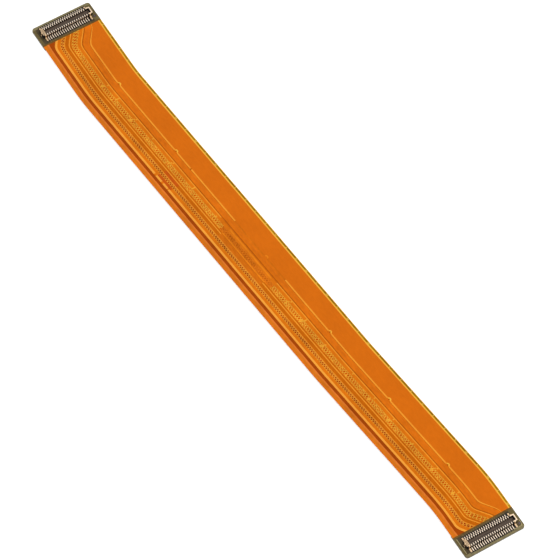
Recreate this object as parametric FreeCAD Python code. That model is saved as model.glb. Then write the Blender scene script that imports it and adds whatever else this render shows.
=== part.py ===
import FreeCAD, Part

import math
import os

# A flat flexible printed circuit with a board-to-board header at each end.
# X runs along the strip from end A to end B, Y across it, and Z up. The origin
# is under the middle of the strip, on the surface that it lies on. All sizes
# are in millimetres and all angles in degrees.

# Header: contacts in two rows, one along each long wall of its trough. All of
# its metal is formed from strip of one thickness
contact_count = 20
contact_pitch = 0.4
contact_width = 0.2
contact_thickness = 0.1
contact_proud = 0.05
contact_leg_length = 0.4
tail_reach = 0.69
plate_block = 0.82
loop_block = 1.1
wall_outer_half = 0.73
wall_thickness = 0.27
wall_height = 0.76
trough_floor = 0.25
trough_plate_gap = 0.25
trough_loop_gap = 0.3
housing_chamfer = 0.1

# Metal hold-downs on the header's end walls
hold_down_leg_width = 0.3
plate_half = 0.57
plate_length = 0.54
plate_setback = 0.04
loop_half = 0.65
loop_rim = 0.26
foot_half = 0.16

# Lands under the header, their stubs and the solder on them
land_width = 0.24
land_toe = 0.12
land_heel = 0.08
solder_height = 0.07
solder_length = 0.09
marker_land_size = 0.36
window_margin = 0.05

# Plan of the strip: three bends part four straight runs
header_spacing = 116.0
header_offset = 8.8
loop_side_margin = 0.72
plate_side_margin = 0.86
inner_margin = 0.54
outer_margin = 0.36
corner_radius = 0.5
first_run = 14.2
second_run = 64.0
second_heading = 4.9
last_run = 8.1
bend_radius = 45.0

# Layers of the strip, and the stiffeners under its ends
film_thickness = 0.025
copper_thickness = 0.02
cover_thickness = 0.03
mask_thickness = 0.04
adhesive_thickness = 0.05
adhesive_inset = 0.15
stiffener_thickness = 0.3
stiffener_overlap = 0.5
pocket_clearance = 0.03

# Copper on the top face, from the strip's +Y edge to its -Y edge. The ground
# plane takes the width that the others leave
edge_margin = 0.55
power_gap = 0.15
power_width = 1.02
edge_trace_gap = 0.13
edge_trace_width = 0.15
mesh_gap = 0.6
mesh_width = 0.85
mesh_rim = 0.13
mesh_pitch = 3.2
mesh_line = 0.7
trace_gap = 0.33
trace_width = 0.14
thin_trace_gap = 0.6
thin_trace_width = 0.09
inner_trace_gap = 0.12
inner_trace_width = 0.5
signal_gap = 0.5
signal_width = 0.34
guard_gap = 0.6
guard_width = 0.17
guard_margin = 0.68

# Fan-out at each end, where the traces swing over to the lands
fan_angle = 38.0
fan_length = 3.4
fan_lag = 0.42
fan_rise = 2.25
fan_radius = 1.2

# Plated vias that join the power strip to the copper on the bottom face
via_stations = (-43.4, -27.4, 14.5, 29.8, 44.4)
via_radius = 0.14
via_pad_radius = 0.34

# Copper on the bottom face
bottom_margin = 0.5
bottom_lane_count = 4
bottom_lane_gap = 0.4

# How far a cutting box reaches past what it cuts, and what counts as no length
cut_reach = 1.0
tolerance = 1e-6

# The header's own frame: X across it and Y along it, from the middle contact
row_half = (contact_count - 1) * contact_pitch / 2
header_low = -row_half - plate_block
header_high = row_half + loop_block
trough_low = -row_half - trough_plate_gap
trough_high = header_high - trough_loop_gap
riser_outer = wall_outer_half + contact_proud
riser_inner = riser_outer - contact_thickness
leg_outer = wall_outer_half - wall_thickness
leg_inner = leg_outer - contact_thickness
tail_end = wall_outer_half + tail_reach
land_start = riser_inner - land_heel
land_end = tail_end + land_toe
leg_land_width = hold_down_leg_width + land_width - contact_width
window_start = land_start - window_margin
window_end = land_end + window_margin
plate_leg_y = -row_half - contact_pitch
loop_leg_y = row_half + 1.5 * contact_pitch
contact_places = [i * contact_pitch - row_half for i in range(contact_count)]

# The strip in plan
strip_width = header_high - header_low + loop_side_margin + plate_side_margin
strip_half = strip_width / 2
strip_y = header_offset / 2
header_x = header_spacing / 2
header_shift = strip_half - loop_side_margin - header_high
end_x = header_x + window_end + outer_margin
zone_x = header_x - window_end - inner_margin

# Heights of the layers
lower_cover_bottom = stiffener_thickness + adhesive_thickness
lower_copper_bottom = lower_cover_bottom + cover_thickness
film_bottom = lower_copper_bottom + copper_thickness
film_top = film_bottom + film_thickness
copper_top = film_top + copper_thickness
cover_top = copper_top + cover_thickness
mask_top = film_top + mask_thickness
wall_top = mask_top + wall_height
contact_top = wall_top + contact_proud


def vector(x, y, z=0.0):
    return FreeCAD.Vector(x, y, z)


def box(x_range, y_range, z_range):
    size = [high - low for low, high in (x_range, y_range, z_range)]
    corner = vector(x_range[0], y_range[0], z_range[0])
    return Part.makeBox(size[0], size[1], size[2], corner)


def polygon_face(points):
    return Part.Face(Part.makePolygon(points + [points[0]]))


def raised(face, bottom, top):
    """A plan face at height 0 made into a layer from bottom to top."""
    layer = face.extrude(vector(0, 0, top - bottom))
    layer.translate(vector(0, 0, bottom))
    return layer


def save(name, shapes):
    """Writes one node: a single solid, or a group of separate ones."""
    solids = [solid for shape in shapes for solid in shape.Solids]
    node = solids[0] if len(solids) == 1 else Part.makeCompound(solids)
    node.exportStep("parts/" + name + ".step")


# Routes along the strip

def bends():
    """Corner points of the strip's centre line, from end A to end B."""
    first = vector(first_run - header_x, -strip_y)
    angle = math.radians(second_heading)
    second = first + vector(math.cos(angle), math.sin(angle)) * second_run
    third = vector(header_x - last_run, strip_y)
    return [vector(-end_x, -strip_y), first, second, third, vector(end_x, strip_y)]


def aside(points, offset):
    """The corner points moved sideways by offset, to the left of the way."""
    ways = [(b - a).normalize() for a, b in zip(points, points[1:])]
    sides = [vector(-way.y, way.x) for way in ways]
    moved = [points[0] + sides[0] * offset]
    for corner, before, after in zip(points[1:], sides, sides[1:]):
        middle = before + after
        moved.append(corner + middle * (2 * offset / middle.dot(middle)))
    return moved + [points[-1] + sides[-1] * offset]


def rounded(points, radii):
    """Edges through the points, with an arc at each corner that has a radius."""
    edges = []
    start = points[0]
    for corner, before, after, radius in zip(points[1:], points, points[2:], radii):
        back = (before - corner).normalize()
        on = (after - corner).normalize()
        half_turn = (math.pi - back.getAngle(on)) / 2
        reach = radius * math.tan(half_turn)
        inside = (back + on).normalize() * (radius / math.cos(half_turn) - radius)
        edges.append(Part.LineSegment(start, corner + back * reach).toShape())
        if radius > 0:
            arc = Part.Arc(corner + back * reach, corner + inside, corner + on * reach)
            edges.append(arc.toShape())
        start = corner + on * reach
    edges.append(Part.LineSegment(start, points[-1]).toShape())
    return edges


def fan_start(inset):
    """Where the line at this inset from the +Y edge begins to swing over."""
    return zone_x - fan_length + fan_lag * (inset - plane_end)


def line_along(inset, fanned, radius):
    """Edges of the line along the strip at this inset from its +Y edge.

    The radius is that of the middle line's bends, or 0 for plain corners.
    """
    offset = strip_half - inset
    points = aside(bends(), offset)
    left_turn = radius - offset if radius > 0 else 0
    right_turn = radius + offset if radius > 0 else 0
    radii = [left_turn, left_turn, right_turn]
    if not fanned:
        return rounded(points, radii)
    run = fan_rise / math.tan(math.radians(fan_angle))
    rise = vector(0, fan_rise)
    near = [vector(fan_start(inset), points[-1].y), vector(fan_start(inset) + run, points[-1].y) + rise]
    far = [vector(-fan_start(inset) - run, points[0].y) + rise, vector(-fan_start(inset), points[0].y)]
    points = [points[0] + rise] + far + points[1:-1] + near + [points[-1] + rise]
    return rounded(points, [fan_radius] * 2 + radii + [fan_radius] * 2)


def ribbon(near, far, near_fanned=False, far_fanned=False, radius=0.0):
    """Plan face between two lines at insets from the strip's +Y edge."""
    sides = [line_along(near, near_fanned, radius), line_along(far, far_fanned, radius)]
    corners = [(side[0].Vertexes[0].Point, side[-1].Vertexes[-1].Point) for side in sides]
    ends = [Part.LineSegment(a, b).toShape() for a, b in zip(*corners)]
    return Part.Face(Part.Wire(Part.__sortEdges__(sides[0] + sides[1] + ends)))


def across(x, inset):
    """The place on the strip at a station and an inset, fan-out included."""
    points = aside(bends(), strip_half - inset)
    for a, b in zip(points, points[1:]):
        if x <= b.x or b is points[-1]:
            y = a.y + (x - a.x) * (b.y - a.y) / (b.x - a.x)
            break
    swing = (abs(x) - fan_start(inset)) * math.tan(math.radians(fan_angle))
    return vector(x, y + min(max(swing, 0), fan_rise))


def stations(pitch, reach):
    """Evenly spaced places along the strip, out to the reach at both ends."""
    count = math.floor(2 * reach / pitch)
    return [(i - count / 2) * pitch for i in range(count + 1)]


def strip_layer(bottom, top):
    """The whole strip's outline, with rounded corners at its ends."""
    layer = raised(ribbon(0, strip_width, radius=bend_radius), bottom, top)
    corners = [edge for edge in layer.Edges if is_end_corner(edge)]
    return layer.makeFillet(corner_radius, corners)


def is_end_corner(edge):
    a, b = edge.Vertexes[0].Point, edge.Vertexes[-1].Point
    return abs(a.z - b.z) > tolerance and abs(a.x) > end_x - tolerance


def between(shape, low, high):
    """The part of a shape between two stations along the strip."""
    bounds = shape.BoundBox
    sides = (bounds.YMin - cut_reach, bounds.YMax + cut_reach)
    return shape.common(box((low, high), sides, (bounds.ZMin - cut_reach, bounds.ZMax + cut_reach)))


def post(place, radius, bottom, top):
    return Part.makeCylinder(radius, top - bottom, vector(place.x, place.y, bottom))


# Insets of the copper on the top face, each from the strip's +Y edge
guard_end = strip_width - guard_margin
guard_start = guard_end - guard_width
signal_end = guard_start - guard_gap
signal_start = signal_end - signal_width
inner_trace_end = signal_start - signal_gap
inner_trace_start = inner_trace_end - inner_trace_width
thin_trace_end = inner_trace_start - inner_trace_gap
thin_trace_start = thin_trace_end - thin_trace_width
trace_end = thin_trace_start - thin_trace_gap
trace_start = trace_end - trace_width
mesh_end = trace_start - trace_gap
mesh_start = mesh_end - mesh_width
edge_trace_end = mesh_start - mesh_gap
edge_trace_start = edge_trace_end - edge_trace_width
power_end = edge_trace_start - edge_trace_gap
power_start = power_end - power_width
plane_end = power_start - power_gap

plane = (edge_margin, plane_end, False, True)
power = (power_start, power_end, True, True)
mesh = (mesh_start, mesh_end, True, True)
plain_traces = [
    (edge_trace_start, edge_trace_end, True, True),
    (trace_start, trace_end, True, True),
    (thin_trace_start, thin_trace_end, True, True),
    (inner_trace_start, inner_trace_end, True, True),
    (signal_start, signal_end, True, True),
    (guard_start, guard_end, False, False),
]
via_inset = power_start - power_gap / 2
via_places = [across(x, via_inset) for x in via_stations]


def bottom_lanes():
    """Insets of the even lanes of copper on the bottom face."""
    room = strip_width - 2 * bottom_margin - (bottom_lane_count - 1) * bottom_lane_gap
    width = room / bottom_lane_count
    starts = [bottom_margin + i * (width + bottom_lane_gap) for i in range(bottom_lane_count)]
    return [(start, start + width) for start in starts]


# The flexible strip

def base_film():
    film = strip_layer(film_bottom, film_top)
    return film.cut([post(p, via_radius, film_bottom, film_top) for p in via_places])


def mesh_windows():
    """Slanted openings of the mesh band, between its two rims."""
    near, far = mesh_start + mesh_rim, mesh_end - mesh_rim
    windows = []
    for x in stations(mesh_pitch, zone_x - mesh_pitch):
        a, b = x - (mesh_pitch - mesh_line) / 2, x + (mesh_pitch - mesh_line) / 2
        slant = far - near
        corners = [across(a, near), across(a - slant, far), across(b - slant, far), across(b, near)]
        windows.append(raised(polygon_face(corners), film_top, copper_top))
    return windows


def etched(lane):
    return between(raised(ribbon(*lane), film_top, copper_top), -zone_x, zone_x)


def top_copper():
    pads = [post(p, via_pad_radius, film_top, copper_top) for p in via_places]
    clear = [post(p, via_pad_radius + power_gap, film_top, copper_top) for p in via_places]
    parts = [etched(plane).cut(clear), etched(power).fuse(pads).removeSplitter()]
    parts.append(etched(mesh).cut(mesh_windows()))
    return parts + [etched(lane) for lane in plain_traces]


def top_coverlay():
    """The cover film, with a shallow pocket in its underside for the copper."""
    cover = between(strip_layer(film_top, cover_top), -zone_x, zone_x)
    face = ribbon(edge_margin - pocket_clearance, guard_end + pocket_clearance)
    return cover.cut(raised(face, film_top, copper_top))


def bottom_copper():
    reach = end_x - bottom_margin
    lanes = [raised(ribbon(*lane), lower_copper_bottom, film_bottom) for lane in bottom_lanes()]
    return [between(lane, -reach, reach) for lane in lanes]


def bottom_coverlay():
    """The cover film underneath, with a shallow pocket in its upper side."""
    cover = strip_layer(lower_cover_bottom, film_bottom)
    rim = bottom_margin - pocket_clearance
    pocket = raised(ribbon(rim, strip_width - rim), lower_copper_bottom, film_bottom)
    return cover.cut(between(pocket, rim - end_x, end_x - rim))


def plated_vias():
    """Plated holes through the base film, filled with copper."""
    return [post(p, via_radius, film_bottom, film_top) for p in via_places]


# The ends of the strip. Each is described in its header's own frame, where the
# strip lies to one side: towards +X at end A and towards -X at end B

def at_end(shapes, end):
    """Shapes moved from the header's own frame to their end of the strip."""
    for shape in shapes:
        shape.translate(vector(end * header_x, end * strip_y + header_shift))
    return shapes


def end_zone(layer, end, inner):
    """A layer's stretch from an inner station out to one end."""
    return between(layer, *sorted((end * inner, end * end_x)))


def span(middle, width):
    return (middle - width / 2, middle + width / 2)


def both_sides(low, high):
    """The same stretch on the left and on the right of the header."""
    return [(-high, -low), (low, high)]


def foot_area(clearance=0.0):
    """Plan of the land under the plate's foot."""
    low = header_low - contact_proud - land_toe
    high = header_low + land_heel
    width = 2 * foot_half + land_width - contact_width
    return span(0, width + 2 * clearance), (low - clearance, high + clearance)


def marker_area(clearance=0.0):
    """Plan of the bare land past the loop's end of the header."""
    size = marker_land_size + 2 * clearance
    middle = header_high + marker_land_size / 2
    return span(riser_outer + marker_land_size / 2, size), span(middle, size)


def land_reaches(end):
    """How far the lands of both rows reach. Those towards the strip run on to its traces."""
    left, right = both_sides(land_start, land_end)
    border = header_x - zone_x
    return ((-border, left[1]), right) if end > 0 else (left, (right[0], border))


def leg_places():
    """Middle of each hold-down leg along the header."""
    return [plate_leg_y, loop_leg_y]


def contact_pads(end):
    height = (film_top, copper_top)
    pads = [box(*foot_area(), height), box(*marker_area(), height)]
    for x_range in land_reaches(end):
        pads += [box(x_range, span(y, land_width), height) for y in contact_places]
    for x_range in both_sides(land_start, land_end):
        pads += [box(x_range, span(y, leg_land_width), height) for y in leg_places()]
    return at_end(pads, end)


def solder_mask(end):
    """The mask over an end zone, open over the lands and hollow below over the traces."""
    height = (film_top, mask_top)
    leg_reach = leg_land_width / 2 + window_margin
    rows = (plate_leg_y - leg_reach, loop_leg_y + leg_reach)
    openings = [box(x_range, rows, height) for x_range in both_sides(window_start, window_end)]
    openings += [box(*foot_area(window_margin), height), box(*marker_area(window_margin), height)]
    traces = span(0, 2 * row_half + land_width + 2 * pocket_clearance)
    openings += [box(x_range, traces, (film_top, copper_top)) for x_range in land_reaches(end)]
    return end_zone(strip_layer(*height), end, zone_x).cut(at_end(openings, end))


def solder_joints(end):
    """A fillet of solder at the toe of each tail."""
    widths = [(y, contact_width) for y in contact_places]
    widths += [(y, hold_down_leg_width) for y in leg_places()]
    joints = []
    for side in (-1, 1):
        heel, toe = side * tail_end, side * (tail_end + solder_length)
        for y, width in widths:
            corners = [vector(heel, y - width / 2, copper_top), vector(toe, y - width / 2, copper_top),
                       vector(heel, y - width / 2, copper_top + solder_height)]
            joints.append(polygon_face(corners).extrude(vector(0, width, 0)))
    return at_end(joints, end)


def stiffener(end):
    return end_zone(strip_layer(0, stiffener_thickness), end, zone_x - stiffener_overlap)


def stiffener_adhesive(end):
    layer = strip_layer(stiffener_thickness, lower_cover_bottom)
    return end_zone(layer, end, zone_x - stiffener_overlap + adhesive_inset)


# The header

def inner_bends():
    """Corners of the formed metal from a tail's underside up to the wall's top."""
    under = contact_top - contact_thickness
    return [(tail_end, copper_top), (riser_inner, copper_top), (riser_inner, under)]


def leg_bends():
    """Corners of a contact's leg, which hangs down inside the trough."""
    under = contact_top - contact_thickness
    leg_end = contact_top - contact_leg_length
    return [(leg_outer, under), (leg_outer, leg_end), (leg_inner, leg_end),
            (leg_inner, wall_top), (leg_inner + contact_proud, contact_top)]


def outer_bends():
    """Corners of the formed metal from the wall's top down to a tail's upper side."""
    tail_top = copper_top + contact_thickness
    return [(wall_outer_half, contact_top), (riser_outer, wall_top),
            (riser_outer, tail_top), (tail_end, tail_top)]


def formed(corners, y, width):
    """Strip metal of this outline, seen along the header, centred at y."""
    face = polygon_face([vector(x, y - width / 2, z) for x, z in corners])
    return face.extrude(vector(0, width, 0))


def contact_row(side):
    """Contacts wrapped around the left (-1) or right (1) wall."""
    corners = [(side * x, z) for x, z in inner_bends() + leg_bends() + outer_bends()]
    return [formed(corners, y, contact_width) for y in contact_places]


def bridge(y):
    """A strip of metal over both walls, with a riser and a tail each side."""
    half = outer_bends() + inner_bends()
    corners = half + [(-x, z) for x, z in reversed(half)]
    return formed(corners, y, hold_down_leg_width)


def plate_hold_down():
    """Wide plate on the end wall, with a leg each side and a foot at the end."""
    height = (contact_top - contact_thickness, contact_top)
    low = header_low + plate_setback
    face = header_low - contact_proud
    foot = (-foot_half, foot_half)
    plate = box((-plate_half, plate_half), (low, low + plate_length), height)
    strap = box(foot, (face, low), height)
    drop = box(foot, (face, face + contact_thickness), (copper_top, contact_top))
    toe = box(foot, (face - land_toe / 2, face), (copper_top, copper_top + contact_thickness))
    return plate.fuse([bridge(plate_leg_y), strap, drop, toe]).removeSplitter()


def loop_hold_down():
    """Loop of metal around the trough's end, with a leg each side."""
    height = (contact_top - contact_thickness, contact_top)
    low = loop_leg_y - hold_down_leg_width / 2 - loop_rim / 2
    inner = loop_half - loop_rim
    loop = box((-loop_half, loop_half), (low, header_high), height).fuse(bridge(loop_leg_y))
    opening = box((-inner, inner), (low, trough_high), height)
    return loop.cut(opening).removeSplitter()


def header_housing(metal):
    """Moulded tray with a trough along it, and seats for the formed metal."""
    sides = (-wall_outer_half, wall_outer_half)
    body = box(sides, (header_low, header_high), (mask_top, wall_top))
    corners = [edge for edge in body.Edges if abs(edge.Vertexes[0].Z - edge.Vertexes[-1].Z) > tolerance]
    body = body.makeChamfer(housing_chamfer, corners)
    trough = box((-leg_outer, leg_outer), (trough_low, trough_high), (mask_top + trough_floor, wall_top))
    return body.cut([trough] + metal)


def save_header(name, end):
    left, right = contact_row(-1), contact_row(1)
    plate, loop = plate_hold_down(), loop_hold_down()
    housing = header_housing(left + right + [plate, loop])
    save("header_housing_" + name, at_end([housing], end))
    save("left_contacts_" + name, at_end(left, end))
    save("right_contacts_" + name, at_end(right, end))
    save("plate_hold_down_" + name, at_end([plate], end))
    save("loop_hold_down_" + name, at_end([loop], end))


os.makedirs("parts", exist_ok=True)

save("base_film", [base_film()])
save("top_copper", top_copper())
save("bottom_copper", bottom_copper())
save("plated_vias", plated_vias())
save("top_coverlay", [top_coverlay()])
save("bottom_coverlay", [bottom_coverlay()])

for end_name, end_side in (("a", -1), ("b", 1)):
    save("solder_mask_" + end_name, [solder_mask(end_side)])
    save("contact_pads_" + end_name, contact_pads(end_side))
    save("solder_joints_" + end_name, solder_joints(end_side))
    save("stiffener_" + end_name, [stiffener(end_side)])
    save("stiffener_adhesive_" + end_name, [stiffener_adhesive(end_side)])
    save_header(end_name, end_side)
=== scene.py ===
import contextlib
import math

import bpy
from bpy.props import FloatProperty, FloatVectorProperty, PointerProperty
from mathutils import Matrix, Vector


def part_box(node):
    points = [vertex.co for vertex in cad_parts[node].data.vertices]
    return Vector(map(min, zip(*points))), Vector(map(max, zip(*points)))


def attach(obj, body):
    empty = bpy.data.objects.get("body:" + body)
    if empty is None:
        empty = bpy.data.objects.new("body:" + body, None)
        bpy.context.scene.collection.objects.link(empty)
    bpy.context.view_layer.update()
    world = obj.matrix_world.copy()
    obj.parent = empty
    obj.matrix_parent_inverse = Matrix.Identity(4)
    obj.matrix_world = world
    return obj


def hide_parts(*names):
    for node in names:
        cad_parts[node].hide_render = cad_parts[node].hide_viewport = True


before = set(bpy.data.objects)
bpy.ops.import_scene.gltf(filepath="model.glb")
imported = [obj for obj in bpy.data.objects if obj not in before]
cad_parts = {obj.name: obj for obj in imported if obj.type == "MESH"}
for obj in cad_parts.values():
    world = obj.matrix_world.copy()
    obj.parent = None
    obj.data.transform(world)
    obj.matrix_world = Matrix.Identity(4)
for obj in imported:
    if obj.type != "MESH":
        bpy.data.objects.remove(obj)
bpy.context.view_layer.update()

bl_info = {
    "name": "Flexible printed circuit cable",
    "version": (1, 0, 0),
    "blender": (4, 5, 0),
    "location": "3D View > Sidebar > Flex cable",
    "description": "Dresses a flexible circuit strip and its two board-to-board headers",
    "category": "Object",
}

MM = 0.001

# Heights and places that the frame gives, in metres
COVER_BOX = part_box("top_coverlay")
LOWER_COVER_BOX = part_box("bottom_coverlay")
HOUSING_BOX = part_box("header_housing_b")
ROW_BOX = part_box("right_contacts_b")
PLATE_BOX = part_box("plate_hold_down_b")
FILM_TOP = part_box("base_film")[1].z
COPPER_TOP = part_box("top_copper")[1].z
COVER_TOP = COVER_BOX[1].z
MASK_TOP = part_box("solder_mask_b")[1].z
WALL_TOP = HOUSING_BOX[1].z
CONTACT_TOP = ROW_BOX[1].z
ZONE_X = COVER_BOX[1].x
END_X = LOWER_COVER_BOX[1].x

# The strip's route in plan: three bends part four straight runs
HEADER_X = 58.0 * MM
STRIP_Y = 4.4 * MM
STRIP_WIDTH = 11.1 * MM
CORNER_RADIUS = 0.5 * MM
FIRST_BEND_X = -HEADER_X + 14.2 * MM
SECOND_RUN = 64.0 * MM
SECOND_HEADING = math.radians(4.9)
LAST_BEND_X = HEADER_X - 8.1 * MM
BEND_RADIUS = 45.0 * MM

# Fan-out at each end, where the traces swing over to the lands
FAN_SLOPE = math.tan(math.radians(38.0))
FAN_LENGTH = 3.4 * MM
FAN_LAG = 0.42
FAN_RISE = 2.25 * MM
FAN_ROUNDING = 0.7 * MM
PLANE_END = 4.13 * MM
SIGNAL_END = 9.65 * MM
GUARD_START = 10.25 * MM

# Cells that part the top film along, about 0.24 mm long, two to a window of the wide mesh
CELLS = 2 * round(ZONE_X / (0.24 * MM))
CELL = 2 * ZONE_X / CELLS

# The header's own frame: X across it and Y along it, from the middle of its rows
HEADERS = {
    end: Vector((side * HEADER_X, sum(p.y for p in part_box("right_contacts_" + end)) / 2, 0))
    for end, side in (("a", -1), ("b", 1))
}
ROW_Y = HEADERS["b"].y
CONTACT_PITCH = 0.4 * MM
CONTACT_PLACES = [(i - 9.5) * CONTACT_PITCH for i in range(20)]
METAL = 0.1 * MM
METAL_UNDER = CONTACT_TOP - METAL
TAIL_TOP = COPPER_TOP + METAL
PROUD = CONTACT_TOP - WALL_TOP
RISER_OUTER = HOUSING_BOX[1].x - HEADER_X + PROUD
RISER_INNER = RISER_OUTER - METAL
LEG_INNER = ROW_BOX[0].x - HEADER_X
LEG_OUTER = LEG_INNER + METAL
LEG_END = CONTACT_TOP - 0.4 * MM
TAIL_END = ROW_BOX[1].x - HEADER_X
TRAY_LOW, TRAY_HIGH = HOUSING_BOX[0].y - ROW_Y, HOUSING_BOX[1].y - ROW_Y
TROUGH_LOW, TROUGH_HIGH = -4.05 * MM, TRAY_HIGH - 0.3 * MM
TROUGH_FLOOR = MASK_TOP + 0.25 * MM
PLATE_LEG_Y, LOOP_LEG_Y = LEG_PLACES = (-4.2 * MM, 4.4 * MM)
LEG_WIDTH = 0.3 * MM
LAND_START, LAND_END = RISER_INNER - 0.08 * MM, TAIL_END + 0.12 * MM
LAND_WIDTH = 0.24 * MM
WINDOW_MARGIN = 0.05 * MM


def linear(colour):
    """An sRGB hex colour as the linear colour that a socket takes."""
    parts = [int(colour[i:i + 2], 16) / 255 for i in (1, 3, 5)]
    return tuple(c / 12.92 if c <= 0.04045 else ((c + 0.055) / 1.055) ** 2.4 for c in parts)


def add_node(tree, kind, settings=None, **links):
    """A node with its settings, whose inputs take values or other nodes' outputs."""
    node = tree.nodes.new(kind)
    for name, value in (settings or {}).items():
        setattr(node, name, value)
    for name, value in links.items():
        label = name.replace("_", " ")
        socket = node.inputs[label] if label in node.inputs else node.inputs[int(name[1:])]
        if isinstance(value, bpy.types.NodeSocket):
            tree.links.new(value, socket)
        else:
            socket.default_value = value
    return node


def colour(label, description, shade):
    """A setting that holds a colour, from its sRGB hex."""
    return FloatVectorProperty(name=label, description=description, subtype="COLOR",
                               min=0, max=1, default=linear(shade))


def length(label, description, size):
    """A setting that holds a length, from its millimetres."""
    return FloatProperty(name=label, description=description, unit="LENGTH",
                         default=size * MM, precision=5)


def angle(label, description, degrees):
    """A setting that holds an angle, from its degrees."""
    return FloatProperty(name=label, description=description, subtype="ANGLE",
                         default=math.radians(degrees))


# Modelling

@contextlib.contextmanager
def editing(piece, kind="FACE"):
    """Edit mode on one piece, selecting by VERT, EDGE or FACE."""
    bpy.context.view_layer.objects.active = piece
    bpy.context.tool_settings.mesh_select_mode = [kind == name for name in ("VERT", "EDGE", "FACE")]
    bpy.ops.object.mode_set(mode="EDIT")
    yield
    bpy.ops.object.mode_set(mode="OBJECT")


def only(piece):
    """Selects one piece and makes it active."""
    bpy.ops.object.select_all(action="DESELECT")
    piece.select_set(True)
    bpy.context.view_layer.objects.active = piece


def deselect(*groups):
    for group in groups:
        for part in group:
            part.select = False


def select_faces(piece, test):
    """Selects the faces whose middle and normal pass the test, in object mode."""
    for face in piece.data.polygons:
        face.select = test(face.center, face.normal)
    deselect(piece.data.edges, piece.data.vertices)


def select_edges(piece, test):
    """Selects the edges whose two ends pass the test, in object mode."""
    points = piece.data.vertices
    deselect(piece.data.polygons, points)
    for edge in piece.data.edges:
        edge.select = test(*(points[i].co for i in edge.vertices))


def bevel_edges(piece, test, **settings):
    """Bevels the edges whose two ends pass the test."""
    select_edges(piece, test)
    with editing(piece, "EDGE"):
        bpy.ops.mesh.bevel(affect="EDGES", **settings)


def apply_modifier(piece, kind, **settings):
    """Adds a modifier with its settings and applies it at once."""
    modifier = piece.modifiers.new(kind.lower(), kind)
    for name, value in settings.items():
        setattr(modifier, name, value)
    bpy.context.view_layer.objects.active = piece
    bpy.ops.object.modifier_apply(modifier=modifier.name)


def smooth(piece, degrees=40):
    """Shades the piece smooth, except across edges that turn by more than this."""
    only(piece)
    bpy.ops.object.shade_smooth_by_angle(angle=math.radians(degrees))


def break_edges(piece, width, segments=1):
    """Bevels the piece's sharp edges and shades it smooth."""
    apply_modifier(piece, "BEVEL", width=width, segments=segments,
                   limit_method="ANGLE", angle_limit=math.radians(50))
    smooth(piece)


def thicken(sheet, thickness):
    """Gives a sheet its thickness, away from the side that its normals point to."""
    apply_modifier(sheet, "SOLIDIFY", thickness=thickness, offset=-1, use_even_offset=False)


def give(piece, *materials):
    """Adds materials to a piece, in the order of its faces' indices."""
    for material in materials:
        piece.data.materials.append(material)


def add_block(name, x_range, y_range, z_range):
    """A block between its limits, its origin at the scene's."""
    bpy.ops.object.select_all(action="DESELECT")
    bpy.ops.mesh.primitive_cube_add(size=1)
    piece = bpy.context.object
    piece.name = name
    ranges = (x_range, y_range, z_range)
    with editing(piece):
        bpy.ops.transform.resize(value=[high - low for low, high in ranges])
        bpy.ops.transform.translate(value=[(low + high) / 2 for low, high in ranges])
    return piece


def score(piece, axis, places):
    """Cuts edges right through a piece at places along an axis."""
    normal = [1.0 if name == axis else 0.0 for name in "xyz"]
    with editing(piece, "VERT"):
        for place in places:
            point = [place * part for part in normal]
            bpy.ops.mesh.select_all(action="SELECT")
            bpy.ops.mesh.bisect(plane_co=point, plane_no=normal, threshold=1e-8)
        bpy.ops.mesh.select_all(action="DESELECT")


def extrude(piece, test, shift):
    """Extrudes the faces that pass the test by a vector."""
    select_faces(piece, test)
    with editing(piece):
        bpy.ops.mesh.extrude_region_move(TRANSFORM_OT_translate={"value": shift})


def formed_strip(name, low, high, moves):
    """Strip metal drawn out from a flat end face between two corners.

    A move is a length to go, as three numbers, or a bend, as its centre, axis and
    degrees. The spin operator turns the other way about, so its angle is negated.
    """
    size = Vector(high) - Vector(low)
    bpy.ops.object.select_all(action="DESELECT")
    turn = (0, math.pi / 2, 0) if size.x == 0 else (math.pi / 2, 0, 0)
    bpy.ops.mesh.primitive_plane_add(size=1, rotation=turn)
    piece = bpy.context.object
    piece.name = name
    bpy.ops.object.transform_apply(rotation=True)
    with editing(piece):
        bpy.ops.transform.resize(value=[part or 1.0 for part in size])
        bpy.ops.transform.translate(value=(Vector(high) + Vector(low)) / 2)
        for move in moves:
            if isinstance(move[0], Vector):
                centre, axis, degrees = move
                bpy.ops.mesh.spin(steps=5, angle=-math.radians(degrees), center=centre, axis=axis)
            else:
                bpy.ops.mesh.extrude_region_move(TRANSFORM_OT_translate={"value": move})
        bpy.ops.mesh.select_all(action="SELECT")
        bpy.ops.mesh.remove_doubles(threshold=1e-6)
        bpy.ops.mesh.fill_holes(sides=4)
        bpy.ops.mesh.normals_make_consistent(inside=False)
    return piece


def copied(piece, name, shift, turn=0.0):
    """A copy of a piece with its own mesh, turned about Z and then moved."""
    twin = piece.copy()
    twin.data = piece.data.copy()
    twin.name = name
    twin.data.transform(Matrix.Translation(shift) @ Matrix.Rotation(turn, 4, "Z"))
    bpy.context.collection.objects.link(twin)
    return twin


def joined(name, pieces):
    """Joins the pieces as one."""
    bpy.ops.object.select_all(action="DESELECT")
    for piece in pieces:
        piece.select_set(True)
    bpy.context.view_layer.objects.active = pieces[0]
    bpy.ops.object.join()
    pieces[0].name = name
    return pieces[0]


def discard(*pieces):
    """Takes pieces that are only copied from out of the scene."""
    for piece in pieces:
        bpy.data.objects.remove(piece)


def settle(piece, node, slot):
    """Puts a finished piece in place of the frame's node, or beside it."""
    if node:
        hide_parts(node)
    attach(piece, "root")


def settle_at_ends(piece, node, slot):
    """Copies a piece from the header's own frame to both ends, in place of their nodes."""
    for end, middle in HEADERS.items():
        settle(copied(piece, f"{piece.name}_{end}", middle), f"{node}_{end}", slot)
    discard(piece)


# The strip's route

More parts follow.
